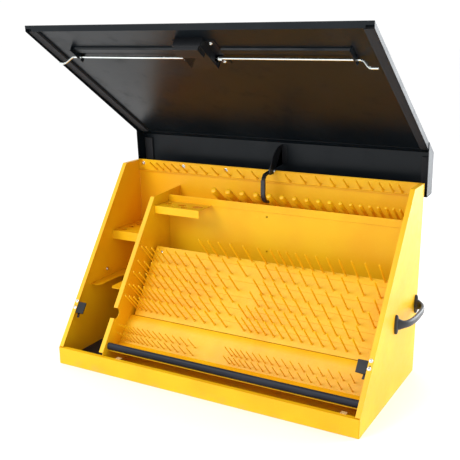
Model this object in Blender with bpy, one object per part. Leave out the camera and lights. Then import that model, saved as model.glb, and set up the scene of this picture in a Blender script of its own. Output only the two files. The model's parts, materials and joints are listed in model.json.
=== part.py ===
# Slant-front portable tool box with a raised lid, as separate sheet-metal pieces.
# Lengths below are in millimetres and become metres when a mesh is made.
# x runs to the right, y to the back, z up; the origin is on the floor under the middle of the body.
import math

import bmesh
import bpy

MM = 0.001
WIDTH = 914.0
DEPTH = 436.0
HEIGHT = 534.6
LIP_HEIGHT = 49.3
TOP_DEPTH = 86.3
SHEET = 1.5
GAP = 0.3
SIDE_FLANGE = 13.0

HALF_WIDTH = WIDTH / 2
FRONT = -DEPTH / 2
BACK = DEPTH / 2
INNER_X = HALF_WIDTH - SHEET - GAP
SLANT = math.atan2(HEIGHT - LIP_HEIGHT, DEPTH - TOP_DEPTH)
UP_Y = math.cos(SLANT)
UP_Z = math.sin(SLANT)

PARTITION_X = -304.5
PARTITION_TOP = 454.0
SHELF_Z = 427.0
SHELF_FRONT = 147.0
BULKHEAD_Y = 149.0
MAIN_LEFT = PARTITION_X + SHEET + GAP

BOARD_TOP = (62.0, 305.0)
BOARD_FOOT = (-66.0, 129.0)
PIN_TILT = math.radians(47.5)
PIN_REACH = 82.0
PIN_RADIUS_MAIN = 2.1
# each row: how far down the board, then start, first pitch, growth and count of its two groups
PIN_ROWS = ((3.0, (-111.0, 30.0, 3.5, 6), (112.0, 23.0, 1.6, 11)),
            (48.0, (-289.0, 15.8, 3.48, 11), (80.0, 29.0, 2.0, 10)),
            (92.0, (-285.0, 22.6, 1.6, 11), (88.0, 29.5, 1.9, 10)),
            (127.0, (-288.0, 21.0, 1.9, 11), (88.0, 30.0, 1.6, 10)),
            (166.0, (-288.0, 15.0, 1.8, 13), (65.0, 24.4, 1.1, 12)),
            (200.0, (-289.0, 14.0, 1.96, 13), (65.0, 20.5, 1.25, 13)))
ROD_PLACE = 136.0

LID_HALF = 461.3
LID_LIFT = 8.0
LID_EDGE = (-227.0, 50.5)
LID_OPEN = 87.1
HINGE_Y = 232.3
HINGE_Z = 508.6
LID_TOP = 548.0
LID_BACK = 245.5

ROD_RADIUS = 3.0
LATCH_HINGE = 104.0
CAM_PLACE = 82.0
LOCK_PLACE = 115.0
STAY_PIVOT = (209.0, 534.0)

YELLOW = (0.93, 0.50, 0.01, 1.0)
BLACK = (0.012, 0.014, 0.017, 1.0)
RUBBER = (0.02, 0.022, 0.028, 1.0)
ZINC = (0.75, 0.78, 0.78, 1.0)
TAN = (0.62, 0.36, 0.12, 1.0)
TRAY_TOP = (-92.0, 114.0)
TRAY_FOOT = (-128.0, 64.0)
KNUCKLE = 96.0
KNUCKLES = 9
PIN_RADIUS = 2.0


def across(a, b, height):
    """An outline in y and z, carried along x."""
    return (height, a, b)


def level(a, b, height):
    """An outline in x and y, carried up z."""
    return (a, b, height)


def on_slant(x, place, lift):
    """A point at x, a distance up the slant from the lip, and a height above the slant."""
    return (x, FRONT + place * UP_Y - lift * UP_Z, LIP_HEIGHT + place * UP_Z + lift * UP_Y)


def on_lid(x, place, lift):
    """A point on the closed lid: a distance from its front edge, and a height above the slant."""
    depth = lift - LID_LIFT
    return (x, LID_EDGE[0] + place * UP_Y - depth * UP_Z, LID_EDGE[1] + place * UP_Z + depth * UP_Y)


def on_board(x, place, lift):
    """A point on the main pegboard: a distance down from its top edge, and a height off its face."""
    run = (BOARD_FOOT[0] - BOARD_TOP[0], BOARD_FOOT[1] - BOARD_TOP[1])
    length = math.hypot(*run)
    down = (run[0] / length, run[1] / length)
    return (x, BOARD_TOP[0] + place * down[0] + lift * down[1],
            BOARD_TOP[1] + place * down[1] - lift * down[0])


def slant_point(place, lift=0.0):
    return on_slant(0.0, place, lift)[1:]


def lid_point(place, lift):
    return on_lid(0.0, place, lift)[1:]


def shut(point):
    """Where a point of the raised lid comes to when the lid is closed."""
    turn = math.radians(LID_OPEN)
    y = point[0] - HINGE_Y
    z = point[1] - HINGE_Z
    return (HINGE_Y + y * math.cos(turn) - z * math.sin(turn),
            HINGE_Z + y * math.sin(turn) + z * math.cos(turn))


def solid(name, points, faces):
    """A closed mesh from points in millimetres, with its faces turned outwards."""
    mesh = bpy.data.meshes.new(name)
    mesh.from_pydata([[MM * value for value in point] for point in points], [], faces)
    shape = bmesh.new()
    shape.from_mesh(mesh)
    bmesh.ops.recalc_face_normals(shape, faces=shape.faces)
    shape.to_mesh(mesh)
    shape.free()
    thing = bpy.data.objects.new(name, mesh)
    bpy.context.collection.objects.link(thing)
    return thing


def extrude(name, outline, low, high, place=across):
    """A prism over an outline, from height low to height high."""
    count = len(outline)
    points = [place(a, b, low) for a, b in outline] + [place(a, b, high) for a, b in outline]
    faces = [list(range(count)), list(range(count, 2 * count))]
    for index in range(count):
        after = (index + 1) % count
        faces.append([index, after, count + after, count + index])
    return solid(name, points, faces)


def block(name, low, high, place=lambda x, y, z: (x, y, z)):
    """A box between two corners, in the axes that place gives."""
    outline = [(low[0], low[1]), (high[0], low[1]), (high[0], high[1]), (low[0], high[1])]
    return extrude(name, outline, low[2], high[2], place)


def folded(bends, thickness=SHEET):
    """The outline of a bent sheet whose one face follows the bends; it lies to their left."""
    normals = []
    for start, end in zip(bends, bends[1:]):
        length = math.dist(start, end)
        normals.append(((start[1] - end[1]) / length, (end[0] - start[0]) / length))
    normals = [normals[0]] + normals + [normals[-1]]
    inner = []
    for point, before, after in zip(bends, normals, normals[1:]):
        scale = thickness / (1 + before[0] * after[0] + before[1] * after[1])
        inner.append((point[0] + scale * (before[0] + after[0]),
                      point[1] + scale * (before[1] + after[1])))
    return list(bends) + inner[::-1]


def circle(centre, radius, sides=16):
    return [(centre[0] + radius * math.cos(2 * math.pi * index / sides),
             centre[1] + radius * math.sin(2 * math.pi * index / sides)) for index in range(sides)]


def rod(name, start, end, radius, sides=8):
    """A straight round bar between two points."""
    return sweep(name, [start, end], radius, radius, sides)


def sweep(name, path, wide, high, sides=8, side_axis=(1.0, 0.0, 0.0)):
    """An oval section carried along a path; wide is its radius along side_axis."""
    points = []
    for index, place in enumerate(path):
        before = path[max(index - 1, 0)]
        after = path[min(index + 1, len(path) - 1)]
        run = [b - a for a, b in zip(before, after)]
        length = math.sqrt(sum(value * value for value in run))
        run = [value / length for value in run]
        side = list(side_axis)
        lean = sum(a * b for a, b in zip(side, run))
        if abs(lean) > 0.9:
            side = [0.0, UP_Y, UP_Z]
            lean = sum(a * b for a, b in zip(side, run))
        side = [a - lean * b for a, b in zip(side, run)]
        length = math.sqrt(sum(value * value for value in side))
        side = [value / length for value in side]
        up = [run[1] * side[2] - run[2] * side[1], run[2] * side[0] - run[0] * side[2],
              run[0] * side[1] - run[1] * side[0]]
        for step in range(sides):
            angle = 2 * math.pi * (step + 0.5) / sides
            points.append([p + wide * math.cos(angle) * s + high * math.sin(angle) * u
                           for p, s, u in zip(place, side, up)])
    faces = [list(range(sides)), list(range(len(points) - sides, len(points)))]
    for ring in range(len(path) - 1):
        for step in range(sides):
            after = (step + 1) % sides
            faces.append([ring * sides + step, ring * sides + after,
                          (ring + 1) * sides + after, (ring + 1) * sides + step])
    return solid(name, points, faces)


def combine(target, others, operation):
    """Join others to target, or cut them out of it, and keep the result as its mesh."""
    for other in others:
        change = target.modifiers.new(operation, "BOOLEAN")
        change.operation = operation
        change.solver = "EXACT"
        change.object = other
    bpy.context.view_layer.update()
    graph = bpy.context.evaluated_depsgraph_get()
    result = bpy.data.meshes.new_from_object(target.evaluated_get(graph))
    result.name = target.name
    target.modifiers.clear()
    target.data = result
    for other in others:
        bpy.data.objects.remove(other)
    return target


def join(target, *others):
    return combine(target, others, "UNION")


def cut(target, *others):
    return combine(target, others, "DIFFERENCE")


def bundle(name, things):
    """Put several separate solids in one mesh, as the second half of a Boolean."""
    points = []
    faces = []
    for thing in things:
        first = len(points)
        points += [[value / MM for value in vertex.co] for vertex in thing.data.vertices]
        faces += [[first + index for index in face.vertices] for face in thing.data.polygons]
        bpy.data.objects.remove(thing)
    return solid(name, points, faces)


def smooth(thing, angle=40.0):
    thing.data.shade_smooth()
    thing.data.set_sharp_from_angle(angle=math.radians(angle))
    return thing


def base_pan():
    bends = [(BACK - SHEET - GAP, 0.0), (FRONT, 0.0), (FRONT, LIP_HEIGHT), (FRONT + 14.0, LIP_HEIGHT)]
    return extrude("base_pan", folded(bends[::-1]), -INNER_X, INNER_X)


def back_wall():
    return block("back_wall", (-INNER_X, BACK - SHEET, 0.0), (INNER_X, BACK, HEIGHT))


def side_panel(name, side):
    """Side wall with one flange folded inwards along the slant and the flat top."""
    top_front = (BACK - TOP_DEPTH, HEIGHT)
    outline = [(FRONT, 0.0), (BACK, 0.0), (BACK, HEIGHT), top_front, (FRONT, LIP_HEIGHT)]
    panel = extrude(name, outline, side * (HALF_WIDTH - SHEET), side * HALF_WIDTH)
    fold = folded([slant_point(4.0), top_front, (BACK - SHEET - GAP, HEIGHT)], -SHEET)
    flange = extrude("flange", fold, side * (HALF_WIDTH - SIDE_FLANGE), side * (HALF_WIDTH - SHEET / 2))
    return join(panel, flange)


def partition():
    """Upright divider with a front flange and a round notch for the latch rod."""
    left = PARTITION_X
    top_place = (PARTITION_TOP - LIP_HEIGHT) / UP_Z
    clear_floor = SHEET + GAP
    front_low = FRONT + 14.0 + GAP
    outline = [(front_low, clear_floor), (BACK - SHEET - GAP, clear_floor), (BACK - SHEET - GAP, 463.0),
               slant_point(top_place, -0.5), slant_point(11.5, -0.5),
               (slant_point(11.5, -0.5)[0], LIP_HEIGHT + GAP), (front_low, LIP_HEIGHT + GAP)]
    sheet = extrude("partition", outline, left, left + SHEET)
    fold = folded([slant_point(13.0), slant_point(top_place - 1.0)], -SHEET)
    flange = extrude("flange", fold, left - 12.5, left + SHEET / 2)
    notch = extrude("notch", circle(slant_point(ROD_PLACE - 4.4), 15.8), left - 20.0, left + 10.0)
    return cut(join(sheet, flange), notch)


def bulkhead():
    low = SHEET + GAP
    panel = block("rear_bulkhead", (MAIN_LEFT, BULKHEAD_Y, low),
                  (INNER_X, BULKHEAD_Y + SHEET, SHELF_Z - SHEET - GAP))
    hole_x = 31.0
    holes = [rod("hole", (hole_x, BULKHEAD_Y - 5.0, z), (hole_x, BULKHEAD_Y + 5.0, z), 2.6)
             for z in (411.5, 309.0)]
    return cut(panel, *holes)


def upper_shelf():
    bends = [(BACK - SHEET - GAP, SHELF_Z - SHEET), (SHELF_FRONT, SHELF_Z - SHEET), (SHELF_FRONT, SHELF_Z + 20.0)]
    return extrude("upper_shelf", folded(bends, -SHEET), MAIN_LEFT, INNER_X)


def spread(start, pitch, growth, count):
    """Places along x whose pitch changes by the same step each time."""
    return [start + pitch * index + growth * index * (index - 1) / 2 for index in range(count)]


def comb(name, rail, bases, reach, radii):
    """A rail with one square bar rising from each base by the reach in y and z."""
    length = math.hypot(*reach)
    bars = []
    for base, radius in zip(bases, radii):
        sunk = (base[0], base[1] - reach[0] / length, base[2] - reach[1] / length)
        tip = (base[0], base[1] + reach[0], base[2] + reach[1])
        bars.append(sweep("bar", [sunk, tip], radius, radius, 4))
    return join(rail, bundle("bars", bars))


def back_rail():
    """Strip under the top edge of the back wall, with short round pins."""
    wall = BACK - SHEET - GAP
    bends = [(wall, 532.4), (wall, 500.0), (wall - 5.0, 500.0)]
    rail = extrude("back_rail", folded(bends, -SHEET), -INNER_X, INNER_X)
    places = spread(-388.0, 24.0, 2.55, 11) + spread(72.0, 48.0, -2.9, 10)
    face = wall - SHEET
    bases = [(x, face, 506.0) for x in places]
    reach = (-50.0 * UP_Z, 50.0 * UP_Y)
    return comb("back_rail", rail, bases, reach, [1.7] * len(bases))


def socket_pegs():
    """Row of pegs behind the upper shelf's lip, thick on the left and thin on the right."""
    count = 18
    places = spread(-144.0, 48.0, -1.88, count)
    rail = block("socket_pegs", (-160.0, 204.0, SHELF_Z - 1.0), (430.0, 215.8, SHELF_Z + 3.0))
    bases = [(x, 210.0, SHELF_Z + 2.5) for x in places]
    reach = (-78.0 * UP_Z, 78.0 * UP_Y)
    radii = [9.0 - 0.35 * index for index in range(count)]
    below = block("below", (-200.0, 150.0, SHELF_Z - 30.0), (455.0, 240.0, SHELF_Z + GAP))
    behind = block("behind", (-200.0, BACK - SHEET - GAP, SHELF_Z - 30.0), (455.0, 260.0, SHELF_Z + 30.0))
    return cut(comb("socket_pegs", rail, bases, reach, radii), below, behind)


def pin_row(name, place, places):
    """One comb of the main pegboard, on a thin rail that follows the board."""
    low = (places[0] - 3.8, place - 2.4, GAP)
    high = (places[-1] + 3.8, place + 2.4, GAP + 1.2)
    rail = block(name, low, high, on_board)
    bases = [on_board(x, place, GAP + 1.0) for x in places]
    reach = (-PIN_REACH * math.cos(PIN_TILT), PIN_REACH * math.sin(PIN_TILT))
    return comb(name, rail, bases, reach, [PIN_RADIUS_MAIN] * len(bases))


def on_tray(x, place, lift):
    """A point on the lower board: a distance down its face, and a height off it."""
    length = math.dist(TRAY_TOP, TRAY_FOOT)
    down = ((TRAY_FOOT[0] - TRAY_TOP[0]) / length, (TRAY_FOOT[1] - TRAY_TOP[1]) / length)
    return (x, TRAY_TOP[0] + place * down[0] + lift * down[1],
            TRAY_TOP[1] + place * down[1] - lift * down[0])


def tray_pins(name, place, length, places):
    """One comb of short thin pins on the lower board."""
    low = (places[0] - 4.0, place - 2.0, GAP)
    high = (places[-1] + 4.0, place + 2.0, GAP + 1.2)
    rail = block(name, low, high, on_tray)
    bases = [on_tray(x, place, GAP + 1.0) for x in places]
    reach = (-length * math.cos(PIN_TILT), length * math.sin(PIN_TILT))
    return comb(name, rail, bases, reach, [1.3] * len(bases))


def main_pegboard():
    bends = [(BOARD_TOP[0] + 12.0, BOARD_TOP[1] - 5.0), BOARD_TOP, BOARD_FOOT]
    return extrude("main_pegboard", folded(bends), -293.0, INNER_X)


def lower_board():
    """Step, steep board and forward flange in one bent sheet."""
    start = (BOARD_FOOT[0] - 1.2, BOARD_FOOT[1] - 0.8)
    bends = [start, TRAY_TOP, TRAY_FOOT, (-186.0, 60.0)]
    return extrude("lower_board", folded(bends), MAIN_LEFT, INNER_X)


def front_bumper():
    """Half-round rubber strip on the front of the lower board's flange."""
    back = -180.0
    base = 61.0
    outline = [(back, base), (back, 81.0)]
    outline += [(back - 10.0 * math.sin(angle), 71.0 + 11.0 * math.cos(angle))
                for angle in [math.pi * step / 6 for step in range(1, 6)]]
    outline.append((back - 3.0, base))
    return smooth(extrude("front_bumper", outline, MAIN_LEFT, INNER_X))


def lip_tab(name, x):
    return block(name, (x - 7.5, -207.0, LIP_HEIGHT + GAP), (x + 7.5, -196.0, LIP_HEIGHT + 1.8))


def screwdriver_rack():
    """Shelf right of the partition with a front lip and five holes."""
    right = -149.0
    shelf = block("screwdriver_rack", (MAIN_LEFT, 70.0, SHELF_Z - SHEET), (right, SHELF_FRONT - GAP, SHELF_Z))
    front = block("front", (MAIN_LEFT, 70.0, 404.0), (right, 70.0 + SHEET, SHELF_Z - 0.5))
    holes = [(-178.0, 111.0, 16.5), (-232.0, 112.0, 13.0), (-280.0, 114.0, 10.5),
             (-256.0, 91.0, 7.0), (-209.0, 90.0, 10.0)]
    cutters = [extrude("hole", circle((x, y), radius), 420.0, 430.0, level) for x, y, radius in holes]
    return cut(join(shelf, front), *cutters)


def hole_rack():
    """Upper shelf of the left bay with two rows of round holes."""
    top = 336.5
    left = -INNER_X
    right = PARTITION_X - GAP
    shelf = block("hole_rack", (left, 59.0, top - SHEET), (right, BACK - SHEET - GAP, top))
    front = block("front", (left, 59.0, top - 27.0), (right, 59.0 + SHEET, top - 0.5))
    places = [(x, 84.0 + 38.0 * step) for x in (-428.0, -350.0) for step in range(3)]
    cutters = [extrude("hole", circle(place, 9.0, 12), 330.0, 340.0, level) for place in places]
    return cut(join(shelf, front), *cutters)


def slot_rack():
    """Lower shelf of the left bay, with one deep slot open to the front."""
    top = 198.0
    left = -INNER_X
    right = PARTITION_X - GAP
    front = -62.0
    slot_left = -422.0
    slot_right = -385.0
    middle = (slot_left + slot_right) / 2
    radius = (slot_right - slot_left) / 2
    end = [(middle + radius * math.cos(angle), 40.0 + radius * math.sin(angle))
           for angle in [math.pi * step / 6 for step in range(7)]]
    outline = [(left, front + 4.0), (left + 4.0, front), (slot_left - 8.0, front), (slot_left, front + 14.0)]
    outline += end[::-1]
    outline += [(slot_right, front + 14.0), (slot_right + 10.0, front), (right - 12.0, front), (right, front + 12.0)]
    outline += [(right, BACK - SHEET - GAP), (left, BACK - SHEET - GAP)]
    return extrude("slot_rack", outline, top - SHEET, top, level)


def floor_mat():
    low = SHEET + GAP
    return block("floor_mat", (-INNER_X, -203.0, low), (PARTITION_X - GAP, BACK - SHEET - GAP, low + 3.0))


def handle(name, side):
    """Bowed carrying handle: x follows the fourth root of one minus the fourth power of y."""
    wall = HALF_WIDTH + GAP
    middle = 110.3
    half_span = 86.8
    steps = 14
    path = []
    for step in range(steps + 1):
        swing = math.pi * step / steps
        along = -math.cos(swing)
        out = max(1.0 - abs(along) ** 2.6, 0.0) ** (1 / 2.6)
        path.append((side * (wall + 2.5 + 31.0 * out), middle + (half_span - 4.0) * along, 206.0))
    bow = sweep(name, path, 10.0, 5.6, 8, side_axis=(0.0, 0.0, 1.0))
    feet = []
    for along in (-1, 1):
        pad = [(middle + along * half_span + 8.0 * math.cos(turn), 206.0 + 26.5 * math.sin(turn))
               for turn in [2 * math.pi * (step + 0.5) / 12 for step in range(12)]]
        feet.append(extrude("foot", pad, side * wall, side * (wall + 6.5)))
    return smooth(join(bow, *feet))


def striker(name, side):
    """Wedge under the side flange that the latch rod's tip comes to rest beneath."""
    outline = [(side * 449.5, -1.8), (side * 417.0, -1.8), (side * 417.0, -4.8),
               (side * 432.0, -15.0), (side * 449.5, -15.0)]
    wedge = extrude(name, outline, 115.0, 148.0, lambda a, b, height: on_slant(a, height - 4.4, b))
    return wedge


def lid_main_panel():
    """Large slanted sheet with side flanges and a narrow front flange."""
    end = 612.0
    inner = LID_HALF - SHEET
    sheet = extrude("lid_main_panel", folded([lid_point(0.0, LID_LIFT), lid_point(end, LID_LIFT)], -SHEET),
                    -LID_HALF, LID_HALF)
    edge_y, edge_z = LID_EDGE
    front = block("front", (-LID_HALF, edge_y, edge_z - 0.2), (LID_HALF, edge_y + 8.3, edge_z + SHEET))
    tongue = block("tongue", (-442.0, edge_y + 4.0, edge_z - 0.2), (442.0, edge_y + 14.9, edge_z + SHEET))
    side = [LID_EDGE, lid_point(end, LID_LIFT), lid_point(end, LID_LIFT - 17.4), (edge_y + 14.9, edge_z - 0.2)]
    flanges = [extrude("side", side, way * inner, way * LID_HALF) for way in (-1, 1)]
    panel = join(sheet, front, tongue, *flanges)
    opening = block("opening", (-32.0, 60.0, 0.0), (32.0, 126.0, 20.0), on_lid)
    return cut(panel, opening)


def lid_rear_panel():
    """Flat top of the lid with a rear flange, deep cheeks and a lap under the main sheet."""
    lap_depth = LID_LIFT - SHEET - GAP
    bend_place = (LID_TOP - lid_point(0.0, lap_depth)[1]) / UP_Z
    bend = lid_point(bend_place, lap_depth)
    fold = folded([bend, (LID_BACK, LID_TOP), (LID_BACK, 503.0)], -SHEET)
    cheek_x = LID_HALF + GAP
    top = extrude("lid_rear_panel", fold, -cheek_x - SHEET, cheek_x + SHEET)
    lap = extrude("lap", folded([lid_point(592.0, lap_depth), bend, (bend[0] + 5.0, LID_TOP)], -SHEET),
                  -LID_HALF + SHEET + GAP, LID_HALF - SHEET - GAP)
    cheek = [(97.2, 499.5), (238.0, 499.5), (LID_BACK, 507.0), (LID_BACK, LID_TOP), (bend[0], LID_TOP)]
    cheeks = [extrude("cheek", cheek, way * cheek_x, way * (cheek_x + SHEET)) for way in (-1, 1)]
    return join(top, lap, *cheeks)


def lid_seal(name, side):
    """Foam strip along one side of the main sheet."""
    low = LID_LIFT - SHEET - GAP - 5.5
    outer = LID_HALF - SHEET - GAP
    return block(name, (side * 434.0, 18.0, low), (side * outer, 588.0, low + 5.5), on_lid)


def top_seal(name, side):
    top = LID_TOP - SHEET - GAP
    return block(name, (side * 434.0, 146.0, top - 5.5), (side * LID_HALF, 241.8, top))


def stiffener(name, inner_x, outer_x):
    """Shallow channel across the lid that ends in an upright ear, forked to hold the latch rod."""
    face = LID_LIFT - SHEET - GAP
    way = math.copysign(1.0, outer_x)
    channel = folded([(98.0, face - 0.5), (100.0, face - 6.0), (116.0, face - 6.0), (118.0, face - 0.5)], 1.2)
    bar = extrude(name, channel, inner_x, outer_x, lambda a, b, height: on_lid(height, a, b))
    ear = block("ear", (outer_x - way * 1.5, 92.0, face - 15.0), (outer_x + way * 1.5, 150.0, face), on_lid)
    bore = extrude("bore", circle((ROD_PLACE, 0.0), 3.7, 10), outer_x - 5.0, outer_x + 5.0,
                   lambda a, b, height: on_lid(height, a, b))
    mouth = block("mouth", (outer_x - 5.0, ROD_PLACE - 3.6, -30.0), (outer_x + 5.0, ROD_PLACE + 3.6, 0.0), on_lid)
    return cut(join(bar, ear), join(bore, mouth))


def latch_housing():
    """Cover over the latch, open towards the lid, with side notches for the rods."""
    face = LID_LIFT - SHEET - GAP
    shell = block("latch_housing", (-38.0, 54.0, -17.0), (38.0, 158.0, face), on_lid)
    crown = block("crown", (-34.0, 54.8, -27.0), (34.0, 90.0, -16.2), on_lid)
    plate = block("plate", (-52.0, 66.0, face - 1.8), (62.0, 170.0, face - 0.2), on_lid)
    hollow = block("hollow", (-36.5, 55.5, -15.5), (36.5, 156.5, 30.0), on_lid)
    notches = [block("notch", (way * 30.0, 128.5, -8.0), (way * 70.0, 143.5, 20.0), on_lid) for way in (-1, 1)]
    return cut(join(shell, crown, plate), hollow, *notches)


def latch_dish():
    """Recessed pan in the lid that holds the paddle and the lock."""
    floor = -6.0
    rim = block("latch_dish", (-40.0, 52.0, LID_LIFT + GAP), (40.0, 134.0, LID_LIFT + 1.5), on_lid)
    well = block("well", (-31.5, 60.5, floor), (31.5, 125.5, LID_LIFT + 1.0), on_lid)
    hollow = block("hollow", (-30.3, 61.7, floor + 1.2), (30.3, 124.3, 30.0), on_lid)
    bore = extrude("bore", circle((0.0, LOCK_PLACE), 5.9, 12), -20.0, 20.0, on_lid_outline)
    return cut(join(rim, well), hollow, bore)


def on_lid_outline(a, b, height):
    return on_lid(a, b, height)


def latch_paddle():
    """Finger plate hinged at its upper edge, with a tail reaching down to the cam."""
    plate = block("latch_paddle", (-29.0, 64.0, LID_LIFT - 2.0), (29.0, 106.0, LID_LIFT), on_lid)
    curl = block("curl", (-29.0, 64.0, LID_LIFT - 5.0), (29.0, 66.0, LID_LIFT - 1.0), on_lid)
    barrel = extrude("barrel", circle((LATCH_HINGE, 4.0), 3.0, 10), -29.0, 29.0,
                     lambda a, b, height: on_lid(height, a, b))
    return join(plate, curl, barrel)


def latch_cam():
    """Two-armed plate behind the dish that draws both rods in."""
    outline = []
    for step in range(16):
        turn = 2 * math.pi * step / 16
        radius = 13.0 + 9.0 * math.cos(turn) ** 2
        outline.append((radius * math.cos(turn), CAM_PLACE + radius * math.sin(turn)))
    plate = extrude("latch_cam", outline, -12.0, -9.0, on_lid)
    hub = extrude("hub", circle((0.0, CAM_PLACE), 4.0, 10), -13.5, -6.4, on_lid)
    return join(plate, hub)


def lock_cylinder():
    """Key lock with a keyway slot in its face."""
    face = extrude("lock_cylinder", circle((0.0, LOCK_PLACE), 7.5, 16), -4.5, 3.0, on_lid)
    barrel = extrude("barrel", circle((0.0, LOCK_PLACE), 5.4, 12), -13.0, -4.0, on_lid)
    keyway = block("keyway", (-1.0, LOCK_PLACE - 4.0, 0.0), (1.0, LOCK_PLACE + 4.0, 5.0), on_lid)
    return smooth(cut(join(face, barrel), keyway))


def latch_rod(name, side):
    """Round rod with a coupling nut; its outer end steps down towards the striker."""
    steps = 6
    path = [(26.0, 0.0), (396.0, 0.0)]
    for step in range(1, steps + 1):
        share = step / steps
        path.append((398.0 + 26.0 * share, -20.0 * (3 * share ** 2 - 2 * share ** 3)))
    path.append((440.0, -20.0))
    bar = sweep(name, [on_lid(side * x, ROD_PLACE, lift) for x, lift in path], ROD_RADIUS, ROD_RADIUS)
    nut = sweep("nut", [on_lid(side * 42.0, ROD_PLACE, 0.0), on_lid(side * 53.0, ROD_PLACE, 0.0)], 5.3, 5.3, 6)
    return smooth(join(bar, nut))


def knuckle(index):
    start = (index - KNUCKLES / 2) * KNUCKLE + 0.4
    barrel = extrude("knuckle", circle((HINGE_Y, HINGE_Z), 3.8, 12), start, start + KNUCKLE - 0.8)
    return barrel


def hinge_leaf(name, bends, thickness, first):
    """Leaf of the long hinge; its knuckles take every second place along the pin."""
    length = KNUCKLES * KNUCKLE / 2
    leaf = extrude(name, folded(bends, thickness), -length, length)
    reliefs = []
    for index in range(1 - first, KNUCKLES, 2):
        start = (index - KNUCKLES / 2) * KNUCKLE
        reliefs.append(block("relief", (start - 0.4, HINGE_Y - 4.8, HINGE_Z - 4.8),
                             (start + KNUCKLE + 0.4, HINGE_Y + 4.8, HINGE_Z + 4.8)))
    leaf = cut(leaf, *reliefs)
    leaf = join(leaf, *[knuckle(index) for index in range(first, KNUCKLES, 2)])
    bore = extrude("bore", circle((HINGE_Y, HINGE_Z), PIN_RADIUS + 0.4, 12), -length - 5.0, length + 5.0)
    return smooth(cut(leaf, bore))


def hinge_body_leaf():
    wall = BACK + GAP
    bends = [(wall, 478.0), (wall, HINGE_Z - 0.7), (HINGE_Y - 3.0, HINGE_Z - 0.7)]
    return hinge_leaf("hinge_body_leaf", bends, -SHEET, 0)


def hinge_lid_leaf():
    wall = LID_BACK - SHEET - GAP
    bends = [(wall, 540.0), (wall, HINGE_Z + 0.7), (HINGE_Y + 3.0, HINGE_Z + 0.7)]
    return hinge_leaf("hinge_lid_leaf", bends, -SHEET, 1)


def hinge_pin():
    length = KNUCKLES * KNUCKLE / 2 + 1.0
    return smooth(extrude("hinge_pin", circle((HINGE_Y, HINGE_Z), PIN_RADIUS, 12), -length, length))


def stay_plate():
    """Rounded plate under the lid's flat top that carries the stay lever."""
    face = LID_TOP - SHEET - GAP
    raised = [(244.0, 542.0), (222.0, 541.0), (213.2, 537.5), (212.6, 528.5), (203.0, 525.5), (185.0, 526.0),
              (181.0, 531.0), (184.0, 541.0), (192.0, 556.0), (205.0, 575.0), (221.0, 590.0), (241.0, 600.0)]
    outline = [(139.0, face), (199.0, face)] + [shut(point) for point in raised]
    plate = extrude("stay_plate", outline, 20.2, 23.2)
    foot = block("foot", (22.0, 143.0, face - 2.0), (38.0, 195.0, face - 0.1))
    bore = extrude("bore", circle(shut(STAY_PIVOT), 3.4, 12), 10.0, 30.0)
    return cut(join(plate, foot), bore)


def stay_lever():
    """Bent arm that hangs from the stay plate when the lid is up."""
    centre = [STAY_PIVOT, (188.0, 532.0), (168.0, 529.0), (159.0, 519.0), (157.0, 504.0),
              (157.0, 475.0), (163.0, 460.0), (174.0, 450.8), (185.0, 447.5)]
    half = 3.2
    band = folded(centre, half)[len(centre):][::-1]
    other = folded(centre, -half)[len(centre):]
    arm = extrude("stay_lever", [shut(point) for point in band + other], 9.4, 19.8)
    eye = extrude("eye", circle(shut(STAY_PIVOT), 5.2, 14), 9.4, 19.8)
    bore = extrude("bore", circle(shut(STAY_PIVOT), 3.4, 12), 0.0, 30.0)
    return cut(join(arm, eye), bore)


def stay_rivet():
    centre = shut(STAY_PIVOT)
    shank = extrude("stay_rivet", circle(centre, 3.0, 12), 8.0, 24.5)
    heads = [extrude("head", circle(centre, 5.0, 12), low, low + 2.0) for low in (7.1, 23.5)]
    return smooth(join(shank, *heads))


def material(name, colour, roughness, metallic):
    finish = bpy.data.materials.new(name)
    finish.use_nodes = True
    shader = finish.node_tree.nodes["Principled BSDF"]
    shader.inputs["Base Color"].default_value = colour
    shader.inputs["Roughness"].default_value = roughness
    shader.inputs["Metallic"].default_value = metallic
    return finish


def dress(things, colour, roughness, metallic):
    """Give each piece a material of its own."""
    for thing in things:
        thing.data.materials.clear()
        thing.data.materials.append(material(thing.name, colour, roughness, metallic))


def pivot(name, parent, place):
    """An empty at a joint's axis, given in the closed lid's frame."""
    empty = bpy.data.objects.new(name, None)
    bpy.context.collection.objects.link(empty)
    spot = [MM * value for value in place]
    if parent is not None:
        spot = [value - base for value, base in zip(spot, parent["place"])]
        empty.parent = parent
    empty.location = spot
    empty["place"] = [MM * value for value in place]
    return empty


def hang(things, parent):
    """Put pieces under a pivot, with their points measured from it."""
    offset = parent["place"]
    for thing in things:
        for vertex in thing.data.vertices:
            vertex.co = [value - base for value, base in zip(vertex.co, offset)]
        thing.parent = parent


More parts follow.
